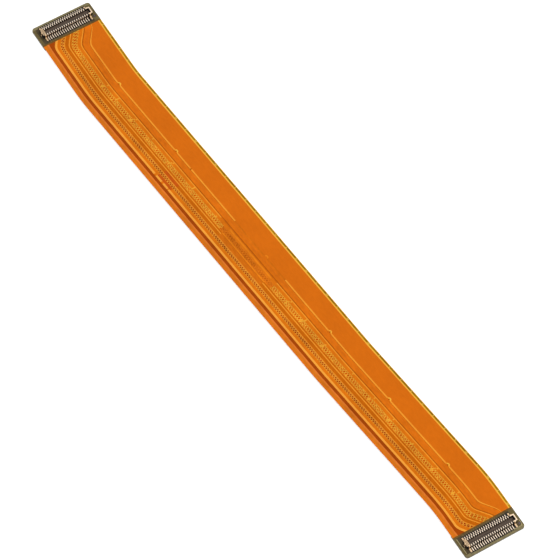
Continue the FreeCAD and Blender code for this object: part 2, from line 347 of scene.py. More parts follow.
def ramp(along, half):
    """A slope of 1 that begins at 0 and is rounded over half to each side of it."""
    if along <= -half:
        return 0.0
    return along if along >= half else (along + half) ** 2 / (4 * half)


def route_y(x, inset):
    """Y of the line at this inset from the strip's +Y edge, without the fan-outs."""
    offset = STRIP_WIDTH / 2 - inset
    second_x = FIRST_BEND_X + SECOND_RUN * math.cos(SECOND_HEADING)
    second_y = -STRIP_Y + SECOND_RUN * math.sin(SECOND_HEADING)
    third_heading = math.atan2(STRIP_Y - second_y, LAST_BEND_X - second_x)
    y = -STRIP_Y + offset
    turns = (
        (FIRST_BEND_X, 0.0, SECOND_HEADING),
        (second_x, SECOND_HEADING, third_heading),
        (LAST_BEND_X, third_heading, 0.0),
    )
    for corner_x, before, after in turns:
        radius = BEND_RADIUS - math.copysign(1, after - before) * offset
        bend_x = corner_x - offset * math.tan((before + after) / 2)
        half = radius * math.tan(abs(after - before) / 2)
        y += (math.tan(after) - math.tan(before)) * ramp(x - bend_x, half)
    return y


def swing(x, inset):
    """How far the fan-out moves the line at this inset towards +Y."""
    start = ZONE_X - FAN_LENGTH + FAN_LAG * (min(max(inset, PLANE_END), SIGNAL_END) - PLANE_END)
    along = abs(x) - start
    begun, ended = (ramp(along - place, FAN_ROUNDING) for place in (0.0, FAN_RISE / FAN_SLOPE))
    moved = FAN_SLOPE * (begun - ended)
    if inset < PLANE_END:
        return moved * max(inset / PLANE_END, 0.0) ** 2
    if inset > SIGNAL_END:
        return moved * max((GUARD_START - inset) / (GUARD_START - SIGNAL_END), 0.0)
    return moved


def flip(piece):
    """Turns all the faces' normals over."""
    with editing(piece):
        bpy.ops.mesh.select_all(action="SELECT")
        bpy.ops.mesh.flip_normals()


def lay_on_route(piece, fanned=True):
    """Bends a piece that is modelled straight, with its insets along Y, onto the strip.

    Insets count against Y, so this mirrors the piece, and its normals are turned back.
    """
    for vertex in piece.data.vertices:
        x, inset = vertex.co.x, vertex.co.y
        vertex.co.y = route_y(x, inset) + (swing(x, inset) if fanned else 0.0)
    flip(piece)


def round_corners(piece):
    """Draws in a straight piece's long rows to the rounded corners of the strip's ends."""
    straight = END_X - CORNER_RADIUS
    for vertex in piece.data.vertices:
        beyond = abs(vertex.co.x) - straight
        depth = CORNER_RADIUS - min(vertex.co.y, STRIP_WIDTH - vertex.co.y)
        if beyond > 0 and depth > 0:
            share = math.sqrt(max(1 - (depth / CORNER_RADIUS) ** 2, 0.0))
            vertex.co.x = math.copysign(straight + beyond * share, vertex.co.x)


def flat_sheet(name, low, high, columns, rows):
    """A straight sheet at height 0, in columns along it and cut at the rows across it."""
    bpy.ops.object.select_all(action="DESELECT")
    bpy.ops.mesh.primitive_grid_add(x_subdivisions=columns, y_subdivisions=1, size=1)
    sheet = bpy.context.object
    sheet.name = name
    with editing(sheet):
        bpy.ops.transform.resize(value=(high - low, rows[-1] - rows[0], 1))
        bpy.ops.transform.translate(value=((low + high) / 2, (rows[-1] + rows[0]) / 2, 0))
    score(sheet, "y", rows[1:-1])
    return sheet


# The films

# Across the top film, from its +Y edge, in millimetres: where each band starts,
# whether the film lies on copper there (1) or on the base film (0), and the finish
# The rim lines, the copper's edges and the signal strip are painted highlights: bright colour where
# the film slopes over an edge of the copper, and along the strip's very edge
TOP_BANDS = (
    (0.00, 0, "rim_line"),
    (0.10, 0, "cut_edge"),
    (0.38, 0, "rim_line"),
    (0.50, 0, "rim_line"),
    (0.62, 1, "ground_plane"),
    (3.97, 1, "copper_brow"),
    (4.22, 0, "etched_gap"),
    (4.31, 1, "copper"),
    (4.60, 1, "warm_copper"),
    (5.02, 1, "copper"),
    (5.29, 1, "etched_gap"),
    (5.42, 0, "etched_gap"),
    (5.49, 1, "copper_brow"),
    (5.64, 0, "lower_copper"),
    (5.92, 0, "lower_copper"),
    (6.20, 1, "wide_mesh"),
    (6.62, 1, "wide_mesh"),
    (7.04, 1, "lower_copper"),
    (7.12, 0, "shaded_film"),
    (7.24, 0, "shaded_film"),
    (7.37, 0, "copper_brow"),
    (7.44, 1, "copper_brow"),
    (7.53, 0, "shaded_film"),
    (8.12, 0, "copper_brow"),
    (8.16, 1, "copper_brow"),
    (8.21, 0, "shaded_film"),
    (8.26, 1, "fine_mesh"),
    (8.78, 1, "lower_copper"),
    (8.84, 0, "lower_copper"),
    (9.30, 0, "signal_brow"),
    (9.40, 1, "signal_brow"),
    (9.56, 1, "signal_brow"),
    (9.66, 0, "deep_gap"),
    (10.19, 0, "guard_brow"),
    (10.27, 1, "guard_brow"),
    (10.38, 1, "guard_brow"),
    (10.46, 0, "bare_film"),
    (10.90, 0, "copper"),
    (11.10, 0, "copper"),
)

# From and to along the strip, in millimetres, where the gap and the via beside the power
# strip hardly show
FAINT_STRETCH = (-11.0, 2.6)

# Stretches of the top film where a band looks otherwise, in millimetres: from and to
# along the strip, from and to across it, and the finish
TOP_PATCHES = (
    (*FAINT_STRETCH, 3.97, 4.31, "faint_gap"),
    (-23.3, -23.0, 3.97, 4.31, "etched_gap"),
    (-21.7, -21.5, 3.97, 4.31, "etched_gap"),
    (-12.8, 2.5, 5.49, 5.64, "faint_gap"),
    (-11.0, 2.7, 6.20, 7.04, "red_mesh"),
    (-10.0, 1.2, 5.64, 5.92, "pink_line"),
    (-10.0, 1.2, 7.04, 7.24, "pink_line"),
    (-10.0, 1.2, 7.37, 8.12, "faint_gap"),
    (-25.0, -21.3, 7.53, 8.12, "red_patch"),
    (-25.0, -21.3, 8.78, 9.30, "red_patch"),
    (-9.5, -7.0, 7.37, 8.12, "red_patch"),
    (-25.3, -25.0, 9.30, 9.66, "lower_copper"),
    (-23.6, -23.1, 9.30, 9.66, "lower_copper"),
    (-21.8, -21.5, 9.30, 9.66, "lower_copper"),
)

# The mesh's slanted ties, in millimetres: where they cross SPIKE_MIDDLE, the band that
# they run through, half their width, and how far they lean along for each one across
MESH_SPIKES = (-44.2, -41.0, -36.1, -31.5, -25.8, -19.9, -13.4,
               6.3, 10.5, 16.1, 22.7, 28.2, 33.0, 38.4, 44.0, 49.3)
SPIKE_BAND = (5.64, 7.04)
SPIKE_MIDDLE, SPIKE_HALF, SPIKE_LEAN = 6.3, 0.1, 0.4

# The cutter's marks along the cut edge, in millimetres
TICK_PITCH, TICK_WIDTH, TICK_REACH = 2.75, 0.3, 0.38

# Lines between the windows of the two meshes. The real meshes are near the size of a
# pixel of the photo. These are as coarse as they need to be to show.
WIDE_LINE, FINE_LINE = 0.09 * MM, 0.1 * MM

# The bumps over the vias, in millimetres: where they are, the bump's radius, the height
# of its skirt, its rings inwards, each as how far in and how far up, how wide its hollow
# is, and beyond which Y its face is painted bright as a highlight
VIA_STATIONS = (-43.3, -27.3, -2.6, 14.5, 29.8, 44.5)
VIA_INSET = 4.1
VIA_RADIUS, VIA_SKIRT = 0.38, 0.02
VIA_RINGS = ((0.07, 0.016), (0.11, 0.004), (0.05, -0.012))
HOLLOW_RADIUS, BUMP_HIGHLIGHT_Y = 0.15, 0.02

# Lanes of copper under the bottom film, in millimetres from the strip's +Y edge
BOTTOM_LANES = ((0.5, 2.725), (3.125, 5.35), (5.75, 7.975), (8.375, 10.6))
LANE_SLOPE = 0.05
LOWER_FILM = 0.03 * MM
LOWER_COLUMNS = 240

# Rows beside each long edge of the bottom film and the masks, in millimetres
EDGE_ROWS = (0.0, 0.04, 0.1, 0.18, 0.3)


class FilmColours(bpy.types.PropertyGroup):
    """How the amber film looks over each part of the etched circuit, with highlights painted along
    the copper's edges.
    """

    cut_edge: colour("Cut edge", "Film and base, cut through", "#94700F")
    # Painted highlight: the bright line where the film slopes down beside the ground plane, and
    # along the strip's very edge
    rim_line: colour("Rim line", "Film that slopes down beside the ground plane", "#FFB43C")
    bare_film: colour("Bare film", "Film along the edges, with no copper below", "#D8741A")
    # Painted highlight: the bright line where the film bends over the edge of a trace
    copper_brow: colour("Copper edge", "Film bent over the edge of a trace", "#FF9E30")
    ground_plane: colour("Ground plane", "Film over the wide plane", "#DB6E10")
    # Painted light: lifted almost to the ground plane's colour, to offset the shade on the gap's
    # slopes
    etched_gap: colour("Etched gap", "Film over a narrow gap", "#B85A08")
    faint_gap: colour("Faint gap", "Film over a gap that is filled with adhesive", "#D66E10")
    copper: colour("Power strip", "Film over the power strip", "#E0720F")
    warm_copper: colour("Power strip, middle", "Film over the middle of the power strip", "#DC6F12")
    lower_copper: colour("Lower copper", "Film over copper on the far face", "#DE740F")
    shaded_film: colour("Shaded film", "Film over the base between traces", "#C86506")
    # The signal strip's amber over copper, painted bright as the highlight along its ridge beside
    # the deep gap
    signal_brow: colour("Signal strip", "Film over the signal strip", "#FFA63C")
    deep_gap: colour("Deep gap", "Film over the widest gap", "#A44404")
    guard_brow: colour("Guard trace", "Film over the guard trace", "#E27A2C")
    wide_mesh: colour("Wide mesh", "Film over the lines of the wide mesh", "#FBB03C")
    wide_mesh_window: colour("Wide mesh window", "Film sunk into the wide mesh", "#CC5606")
    red_mesh: colour("Dense mesh", "Film over the mesh's dense stretch", "#E07A1E")
    red_mesh_window: colour("Dense mesh window", "Film sunk into the dense stretch", "#C4600F")
    fine_mesh: colour("Fine mesh", "Film over the zigzag trace", "#FFA036")
    fine_mesh_window: colour("Fine mesh window", "Film sunk beside the zigzag trace", "#A01E00")
    mesh_spike: colour("Mesh tie", "Film over the mesh's ties", "#EE9E30")
    pink_line: colour("Thin trace", "Film over the trace where it is thin", "#EE8418")
    red_patch: colour("Flux stain", "Film over a stained stretch", "#C8560F")
    edge_tick: colour("Cutter mark", "Marks of the cutter along the edge", "#C8A040")


# How strongly the grain shows under the film, where it isn't the usual tenth
GRAIN_DEPTHS = {
    "cut_edge": 0.25,
    "ground_plane": 0.04,
    "rim_line": 0.06,
    "copper_brow": 0.06,
    "signal_brow": 0.05,
    "wide_mesh": 0.15,
    "wide_mesh_window": 0.2,
    "red_mesh": 0.15,
    "red_mesh_window": 0.2,
    "fine_mesh": 0.2,
    "fine_mesh_window": 0.3,
}


def dissolve_straight(sheet, low, high, test):
    """Takes out the edges along X or Y inside a band whose middle passes the test."""
    near = 1e-7

    def chosen(a, b):
        middle = (a + b) / 2
        inside = low + near < middle.y < high - near and abs(middle.x) < ZONE_X - near
        straight = abs(a.x - b.x) < near or abs(a.y - b.y) < near
        return inside and straight and test(middle)

    select_edges(sheet, chosen)
    with editing(sheet, "EDGE"):
        bpy.ops.mesh.dissolve_edges(use_verts=False)


def sink_windows(sheet, low, high, line, depth):
    """Insets the faces of a band and lowers them. Returns the places of their middles."""
    select_faces(sheet, lambda middle, normal: low < middle.y < high)
    with editing(sheet):
        bpy.ops.mesh.inset(use_individual=True, thickness=line / 2)
        bpy.ops.transform.translate(value=(0, 0, -depth))
    return {place_key(face.center) for face in sheet.data.polygons if face.select}


def place_key(middle):
    """A place in whole micrometres, to look a face up by."""
    return round(middle.x * 1e6), round(middle.y * 1e6)


def etch_crosshatch(sheet, low, high, line, depth):
    """Crossing lines with diamond windows, two cells of the sheet to a window."""
    dissolve_straight(sheet, low, high, lambda middle: round((middle.x + ZONE_X) / CELL) % 2 == 1)
    select_faces(sheet, lambda middle, normal: low < middle.y < high)
    with editing(sheet):
        bpy.ops.mesh.poke()
    dissolve_straight(sheet, low, high, lambda middle: True)
    return sink_windows(sheet, low, high, line, depth)


def etch_zigzag(sheet, low, high, line, depth):
    """A zigzag line with triangular windows that point up and down by turns."""
    for parity, method in ((0, "FIXED"), (1, "FIXED_ALTERNATE")):
        select_faces(sheet, lambda middle, normal: low < middle.y < high
                     and math.floor((middle.x + ZONE_X) / CELL) % 2 == parity)
        with editing(sheet):
            bpy.ops.mesh.quads_convert_to_tris(quad_method=method)
    dissolve_straight(sheet, low, high, lambda middle: True)
    return sink_windows(sheet, low, high, line, depth)


def band_limits(finish):
    """Insets where the bands of a finish begin and end."""
    found = [i for i, band in enumerate(TOP_BANDS) if band[2] == finish]
    return TOP_BANDS[found[0]][0] * MM, TOP_BANDS[found[-1] + 1][0] * MM


def finish_at(middle):
    """The finish at a place on the straight top film."""
    x, inset = middle.x / MM, middle.y / MM
    upright = x + (inset - SPIKE_MIDDLE) * SPIKE_LEAN
    on_spike = any(abs(upright - spike) < SPIKE_HALF for spike in MESH_SPIKES)
    if on_spike and SPIKE_BAND[0] < inset < SPIKE_BAND[1]:
        return "mesh_spike"
    if inset < TICK_REACH and x % TICK_PITCH < TICK_WIDTH:
        return "edge_tick"
    for x_low, x_high, low, high, finish in TOP_PATCHES:
        if x_low < x < x_high and low < inset < high:
            return finish
    return [finish for start, level, finish in TOP_BANDS if start <= inset][-1]


class FLEX_OT_top_film(bpy.types.Operator):
    """Drapes the amber cover film over the etched copper of the top face"""

    bl_idname = "flex.top_film"
    bl_label = "Top cover film"

    def execute(self, context):
        rows = [start * MM for start, level, finish in TOP_BANDS]
        sheet = flat_sheet("amber_coverlay", -ZONE_X, ZONE_X, CELLS, rows)
        step = COVER_TOP - COPPER_TOP
        relief = COPPER_TOP - FILM_TOP
        levels = {round(start * 100): level for start, level, finish in TOP_BANDS}
        for vertex in sheet.data.vertices:
            vertex.co.z = FILM_TOP + step + levels[round(vertex.co.y / MM * 100)] * relief
        windows = etch_crosshatch(sheet, *band_limits("wide_mesh"), WIDE_LINE, relief / 2)
        windows |= etch_zigzag(sheet, *band_limits("fine_mesh"), FINE_LINE, relief / 2)
        names = list(FilmColours.__annotations__)
        give(sheet, *(amber_film(name) for name in names))
        for face in sheet.data.polygons:
            name = finish_at(face.center)
            if place_key(face.center) in windows and name + "_window" in names:
                name += "_window"
            face.material_index = names.index(name)
        lay_on_route(sheet)
        thicken(sheet, step)
        settle(sheet, "top_coverlay", "amber_coverlay")
        return {"FINISHED"}


class FLEX_OT_via_bumps(bpy.types.Operator):
    """Raises the film over the plated vias beside the power strip"""

    bl_idname = "flex.via_bumps"
    bl_label = "Via bumps"

    def execute(self, context):
        bpy.ops.object.select_all(action="DESELECT")
        bpy.ops.mesh.primitive_cylinder_add(vertices=24, radius=VIA_RADIUS * MM,
                                            depth=VIA_SKIRT * MM)
        bump = context.object
        select_faces(bump, lambda middle, normal: normal.z > 0.9)
        with editing(bump):
            for inset, rise in VIA_RINGS:
                bpy.ops.mesh.inset(thickness=inset * MM, depth=0)
                bpy.ops.transform.translate(value=(0, 0, rise * MM))
        finishes = ("rim_line", "ground_plane", "etched_gap", "pink_line")
        bright, plain, hollow, faint = range(len(finishes))
        give(bump, *(amber_film(name) for name in finishes))
        # The bump's half towards +Y, where the lamp stands, takes the rim line's bright colour as a
        # painted highlight; the other half takes the plain ground plane's
        for face in bump.data.polygons:
            sunk = face.center.xy.length < HOLLOW_RADIUS * MM and face.normal.z > 0.1
            side = plain if face.center.y < BUMP_HIGHLIGHT_Y * MM else bright
            face.material_index = hollow if sunk else side
        stations = [x * MM for x in VIA_STATIONS]
        places = [Vector((x, route_y(x, VIA_INSET * MM), COVER_TOP)) for x in stations]
        bumps = joined("via_bumps", [copied(bump, "via_bump", place) for place in places])
        low, high = FAINT_STRETCH
        # In the faint stretch the painted highlight takes the thin trace's fainter colour instead
        for face in bumps.data.polygons:
            if low * MM < face.center.x < high * MM:
                face.material_index = faint if face.material_index == bright else plain
        discard(bump)
        smooth(bumps, 60)
        settle(bumps, None, "amber_coverlay")
        return {"FINISHED"}


class FLEX_OT_bottom_film(bpy.types.Operator):
    """Drapes the cover film over the lanes of copper on the bottom face"""

    bl_idname = "flex.bottom_film"
    bl_label = "Bottom cover film"

    def execute(self, context):
        edges = [*EDGE_ROWS, *(STRIP_WIDTH / MM - row for row in EDGE_ROWS)]
        for low, high in BOTTOM_LANES:
            edges += [low - LANE_SLOPE, low, high, high + LANE_SLOPE]
        rows = sorted(row * MM for row in edges)
        sheet = flat_sheet("lower_coverlay", -END_X, END_X, LOWER_COLUMNS, rows)

        def on_lane(inset):
            return any(low * MM - 1e-6 < inset < high * MM + 1e-6 for low, high in BOTTOM_LANES)

        lowest, highest = (corner.z for corner in LOWER_COVER_BOX)
        for vertex in sheet.data.vertices:
            vertex.co.z = lowest if on_lane(vertex.co.y) else highest - LOWER_FILM
        finishes = ("lower_copper", "shaded_film", "cut_edge")
        over_copper, between, cut = range(len(finishes))
        give(sheet, *(amber_film(name) for name in finishes))
        for face in sheet.data.polygons:
            inset = face.center.y
            rim = min(inset, STRIP_WIDTH - inset) < EDGE_ROWS[2] * MM
            plain = over_copper if on_lane(inset) else between
            face.material_index = cut if rim or abs(face.center.x) > ZONE_X else plain
        round_corners(sheet)
        lay_on_route(sheet, fanned=False)
        flip(sheet)
        thicken(sheet, LOWER_FILM)
        settle(sheet, "bottom_coverlay", "amber_coverlay")
        return {"FINISHED"}


# The headers and what they stand on

# The plate, from end to end of the row, with its slots across, as from and to
PLATE_HALF = 0.57 * MM
PLATE_BACK, PLATE_FRONT = PLATE_LEG_Y - 0.38 * MM, PLATE_LEG_Y + 0.16 * MM
SLOT_BACK, SLOT_FRONT = PLATE_LEG_Y - 0.3 * MM, PLATE_LEG_Y + 0.08 * MM
SLOTS = [(start * MM, (start + 0.12) * MM) for start in (-0.46, -0.26, -0.06, 0.14, 0.34)]
SLOT_DEPTH = 0.04 * MM

# The plate's foot: how wide it is, how far its toe stands out, and its two bends
FOOT_FACE = PLATE_BOX[0].y - ROW_Y + 0.06 * MM
FOOT_HALF = 0.16 * MM
FOOT_TOE = 0.06 * MM
FOOT_BEND, FOOT_TOP_BEND = 0.05 * MM, 0.04 * MM

# The loop's arms, and how far the legs reach over the wall. Legs and foot lie a little
# below the faces that they would share with the plate and the loop.
LOOP_HALF = 0.65 * MM
ARM_END = LOOP_LEG_Y - 0.28 * MM
LEG_REACH = 0.45 * MM
LEG_SINK, FOOT_SINK = 0.004 * MM, 0.002 * MM

# The tray's upright corners, and the low rib along the middle of the trough's floor
TRAY_BEVEL = 0.09 * MM
RIB_HALF, RIB_END, RIB_HEIGHT = 0.06 * MM, 3.6 * MM, 0.06 * MM

# The hollow of the solder, and the corners of the lands
FILLET_BEVEL = 0.06 * MM
LAND_CORNER, LAND_EDGE = 0.03 * MM, 0.006 * MM

# Lands in the header's own frame, as X from and to, and Y from and to
LEG_LAND_HALF = 0.17 * MM
LAND_ROWS = (LAND_START, LAND_END, PLATE_LEG_Y - LEG_LAND_HALF, LOOP_LEG_Y + LEG_LAND_HALF)
FOOT_LAND = (-0.18 * MM, 0.18 * MM, TRAY_LOW - 0.17 * MM, TRAY_LOW + 0.08 * MM)
MARKER_LAND = (RISER_OUTER, RISER_OUTER + 0.36 * MM, TRAY_HIGH, TRAY_HIGH + 0.36 * MM)

# The mask: how far it rises over a trace, where its thin border ends, where the traces
# under it begin, and the stretch along the header that is painted darker as shade
MASK_RELIEF = 0.008 * MM
BORDER_END = ZONE_X + 0.28 * MM
STUB_START = ZONE_X + 0.04 * MM
SHADE_LOW, SHADE_HIGH = TRAY_LOW - 0.4 * MM, LOOP_LEG_Y + 0.3 * MM
MASK_FINISHES = ("mask", "mask_trace", "mask_rim", "mask_border", "mask_shade")


class HeaderSizes(bpy.types.PropertyGroup):
    """Sizes of the formed metal and of the solder."""

    contact_width: length("Contact width", "Across one contact", 0.14)
    foot_bend: length("Foot bend", "Inner radius where a tail turns up the wall", 0.14)
    top_bend: length("Top bend", "Inner radius where a contact turns over the wall", 0.05)
    loop_bend: length("Loop bend", "Outer radius of the loop's corners", 0.12)
    loop_rim: length("Loop rim", "Width of the loop's top face", 0.2)
    edge_break: length("Edge break", "How far the metal's sheared edges are rounded", 0.03)
    solder_height: length("Solder height", "How far the solder climbs a tail's toe", 0.07)
    solder_length: length("Solder length", "How far the solder reaches past a tail's toe", 0.09)


class HeaderColours(bpy.types.PropertyGroup):
    """Colours of the headers and of the end zones."""

    mask: colour("Solder mask", "Cured ink over the end zones", "#6C5E38")
    mask_trace: colour("Mask over traces", "Ink where it is thin over a trace", "#6C5C3C")
    # Painted shade: the ink round the header, painted darker as the shade that the header throws
    mask_shade: colour("Mask round the header", "Ink that flux has darkened", "#50442E")
    mask_rim: colour("Mask at the end", "Ink along the strip's end, with no copper", "#857A56")
    mask_border: colour("Mask border", "Thin ink where the mask meets the cover film", "#70501C")
    mask_line: colour("Mask over thin lines", "Ink over the thin lines round the header", "#B4A67A")
    # Painted shade: the gold lands are painted near black, as the shade that falls between the
    # contacts
    land: colour("Lands", "Gold flash on the lands, dark with flux", "#2A1E14")
    marker: colour("Marker land", "Bare copper land, tarnished", "#5E5254")
    contact: colour("Contacts", "Gold plating on the formed contacts", "#F6E2CA")
    hold_down: colour("Hold-downs", "Gold plating on the plate and the legs", "#CBAE8A")
    loop: colour("Loop", "Gold plating on the loop", "#E2CAAC")
    solder: colour("Solder", "Tin solder at the tails", "#6E6456")
    # The housing's polymer in two copies: near black, its own dark colour with the shade between
    # the contacts painted in, and the trough floor's lighter copy, painted as lit
    tray: colour("Housing", "Moulded polymer of the header", "#100C0A")
    tray_floor: colour("Housing floor", "The trough's floor, where the polymer is flat", "#66564A")
    laminate: colour("Stiffener", "Epoxy glass laminate", "#57533A")
    adhesive: colour("Adhesive", "Bonding sheet under the ends", "#6A4A20")
    copper: colour("Copper", "Etched copper foil", "#C87A4A")
    base_film: colour("Base film", "Polyimide between the copper layers", "#C4760F")
    # Painted shade: the base film over the ends, painted near black as the shade that falls in the
    # mask's windows between the contacts
    bonded_film: colour("Bonded film", "The base film where the mask's windows show it", "#17110B")


def formed_leg(name, width, top_reach, sizes):
    """Strip metal from a tail's toe, up the wall's outer side and inwards over its top."""
    foot, top = sizes.foot_bend, sizes.top_bend
    moves = [
        (foot + RISER_OUTER - TAIL_END, 0, 0),
        (Vector((RISER_OUTER + foot, 0, TAIL_TOP + foot)), (0, 1, 0), 90),
        (0, 0, METAL_UNDER - top - TAIL_TOP - foot),
        (Vector((RISER_INNER - top, 0, METAL_UNDER - top)), (0, 1, 0), -90),
        (top_reach - RISER_INNER + top, 0, 0),
    ]
    return name, (TAIL_END, -width / 2, COPPER_TOP), (TAIL_END, width / 2, TAIL_TOP), moves


def both_rows(piece, name, places):
    """Copies of a piece along the right row, and turned round along the left one."""
    pieces = [copied(piece, name, (0, y, 0), turn) for y in places for turn in (0.0, math.pi)]
    return joined(name, pieces)


class FLEX_OT_contacts(bpy.types.Operator):
    """Forms one contact around the header's wall and copies it along both rows"""

    bl_idname = "flex.contacts"
    bl_label = "Contacts"

    def execute(self, context):
        sizes = context.scene.flex_sizes
        top = sizes.top_bend
        name, low, high, moves = formed_leg("contact", sizes.contact_width, LEG_OUTER + top, sizes)
        moves.append((Vector((LEG_OUTER + top, 0, METAL_UNDER - top)), (0, 1, 0), -90))
        moves.append((0, 0, LEG_END - METAL_UNDER + top))
        contact = formed_strip(name, low, high, moves)
        break_edges(contact, sizes.edge_break)
        give(contact, header_finish("gold_plated", "contact"))
        for row, turn in (("right_contacts", 0.0), ("left_contacts", math.pi)):
            pieces = [copied(contact, row, (0, y, 0), turn) for y in CONTACT_PLACES]
            settle_at_ends(joined("formed_" + row, pieces), row, "gold_plating")
        discard(contact)
        return {"FINISHED"}


def formed_plate(sizes):
    """The plate over one end wall, with slots whose metal floors are painted in the housing's near
    black, as shade in the slots.
    """
    plate = add_block("plate", (-PLATE_HALF, PLATE_HALF), (PLATE_BACK, PLATE_FRONT),
                      (METAL_UNDER, CONTACT_TOP))
    score(plate, "x", [place for slot in SLOTS for place in slot])
    score(plate, "y", [SLOT_BACK, SLOT_FRONT])

    def on_slot(middle, normal):
        between = SLOT_BACK < middle.y < SLOT_FRONT
        return normal.z > 0.9 and between and any(low < middle.x < high for low, high in SLOTS)

    extrude(plate, on_slot, (0, 0, -SLOT_DEPTH))
    break_edges(plate, sizes.edge_break)
    # The slots' floors take the second material, the housing's near black: painted shade
    for face in plate.data.polygons:
        sunk = face.center.z < CONTACT_TOP - 0.9 * SLOT_DEPTH
        face.material_index = int(face.normal.z > 0.9 and sunk)
    return plate


def formed_foot(sizes):
    """The plate's foot, from its toe on the land, up the end wall, to below the plate."""
    toe = FOOT_FACE - FOOT_TOE
    low_bend = Vector((0, FOOT_FACE - FOOT_BEND, TAIL_TOP + FOOT_BEND))
    top_bend = Vector((0, FOOT_FACE + METAL + FOOT_TOP_BEND, METAL_UNDER - FOOT_TOP_BEND))
    foot = formed_strip("foot", (-FOOT_HALF, toe, COPPER_TOP), (FOOT_HALF, toe, TAIL_TOP), [
        (0, FOOT_TOE - FOOT_BEND, 0),
        (low_bend, (1, 0, 0), 90),
        (0, 0, top_bend.z - low_bend.z),
        (top_bend, (1, 0, 0), -90),
        (0, METAL, 0),
    ])
    foot.data.transform(Matrix.Translation((0, 0, -FOOT_SINK)))
    break_edges(foot, sizes.edge_break)
    return foot


def formed_loop(sizes):
    """The loop: a bar with rounded corners, and an arm drawn out along each wall."""
    rim = sizes.loop_rim
    loop = add_block("loop", (-LOOP_HALF, LOOP_HALF), (TRAY_HIGH - rim, TRAY_HIGH),
                     (METAL_UNDER, CONTACT_TOP))
    bevel_edges(loop, lambda a, b: abs(a.z - b.z) > 1e-5 and a.y > TRAY_HIGH - 1e-6,
                offset=sizes.loop_bend, segments=4)
    score(loop, "x", (rim - LOOP_HALF, LOOP_HALF - rim))
    extrude(loop, lambda middle, normal: normal.y < -0.9 and abs(middle.x) > LOOP_HALF - rim,
            (0, ARM_END - TRAY_HIGH + rim, 0))
    break_edges(loop, sizes.edge_break)
    return loop


class FLEX_OT_hold_downs(bpy.types.Operator):
    """Forms the plate with its foot and the loop, each with a leg on both sides"""

    bl_idname = "flex.hold_downs"
    bl_label = "Hold-downs"

    def execute(self, context):
        sizes = context.scene.flex_sizes
        metal = header_finish("gold_plated", "hold_down")
        leg = formed_strip(*formed_leg("leg", LEG_WIDTH, LEG_REACH, sizes))
        leg.data.transform(Matrix.Translation((0, 0, -LEG_SINK)))
        break_edges(leg, sizes.edge_break)
        plate, foot, loop = formed_plate(sizes), formed_foot(sizes), formed_loop(sizes)
        # The plate's slot floors take the housing polymer as painted shade
        give(plate, metal, header_finish("crystal_polymer", "tray"))
        give(loop, header_finish("gold_plated", "loop"))
        for piece in (leg, foot):
            give(piece, metal)
        parts = (("plate", [plate, foot], PLATE_LEG_Y), ("loop", [loop], LOOP_LEG_Y))
        for name, pieces, leg_y in parts:
            pieces.append(both_rows(leg, "legs", [leg_y]))
            settle_at_ends(joined("formed_" + name, pieces), name + "_hold_down", "gold_plating")
        discard(leg)
        return {"FINISHED"}


class FLEX_OT_housings(bpy.types.Operator):
    """Moulds the header's tray, with ribs between the contacts"""

    bl_idname = "flex.housings"
    bl_label = "Housings"

    def execute(self, context):
        top = WALL_TOP - PROUD
        tray = add_block("moulded_tray", (-RISER_INNER, RISER_INNER), (TRAY_LOW, TRAY_HIGH),
                         (MASK_TOP, top))
        bevel_edges(tray, lambda a, b: abs(a.z - b.z) > 0.1 * MM, offset=TRAY_BEVEL, segments=4)
        contact_half = context.scene.flex_sizes.contact_width / 2
        grooves = [(y, contact_half) for y in CONTACT_PLACES]
        grooves += [(y, LEG_WIDTH / 2) for y in LEG_PLACES]
        sides = sorted(y + side * half for y, half in grooves for side in (-1, 1))
        score(tray, "y", sides + [TROUGH_LOW, TROUGH_HIGH])
        score(tray, "x", [-LEG_OUTER, -RIB_HALF, RIB_HALF, LEG_OUTER])

        def in_trough(middle):
            return abs(middle.x) < LEG_OUTER and TROUGH_LOW < middle.y < TROUGH_HIGH

        def on_wall(middle):
            free = all(abs(middle.y - y) > half for y, half in grooves)
            return free and PLATE_LEG_Y < middle.y < LOOP_LEG_Y

        def on_floor(middle, normal):
            return normal.z > 0.9 and middle.z < top - PROUD

        def on_top(middle, normal):
            return normal.z > 0.9 and middle.z > top - 1e-6

        extrude(tray, lambda middle, normal: on_top(middle, normal) and in_trough(middle),
                (0, 0, TROUGH_FLOOR - top))
        extrude(tray, lambda middle, normal: on_floor(middle, normal)
                and abs(middle.x) < RIB_HALF and abs(middle.y) < RIB_END, (0, 0, RIB_HEIGHT))
        for side in (-1, 1):
            extrude(tray, lambda middle, normal: normal.x * side > 0.9 and on_wall(middle)
                    and middle.x * side > LEG_OUTER + 1e-5, (side * PROUD, 0, 0))
        extrude(tray, lambda middle, normal: on_top(middle, normal) and on_wall(middle)
                and not in_trough(middle), (0, 0, PROUD))
        break_edges(tray, 0.01 * MM)
        give(tray, *(header_finish("crystal_polymer", name) for name in ("tray", "tray_floor")))
        # The trough's floor takes the lighter copy of the polymer, painted as lit; the rest takes
        # the near-black copy, with painted shade
        for face in tray.data.polygons:
            low = face.center.z < top - 0.2 * MM
            face.material_index = int(face.normal.z > 0.9 and low and in_trough(face.center))
        settle_at_ends(tray, "header_housing", "housing_plastic")
        return {"FINISHED"}


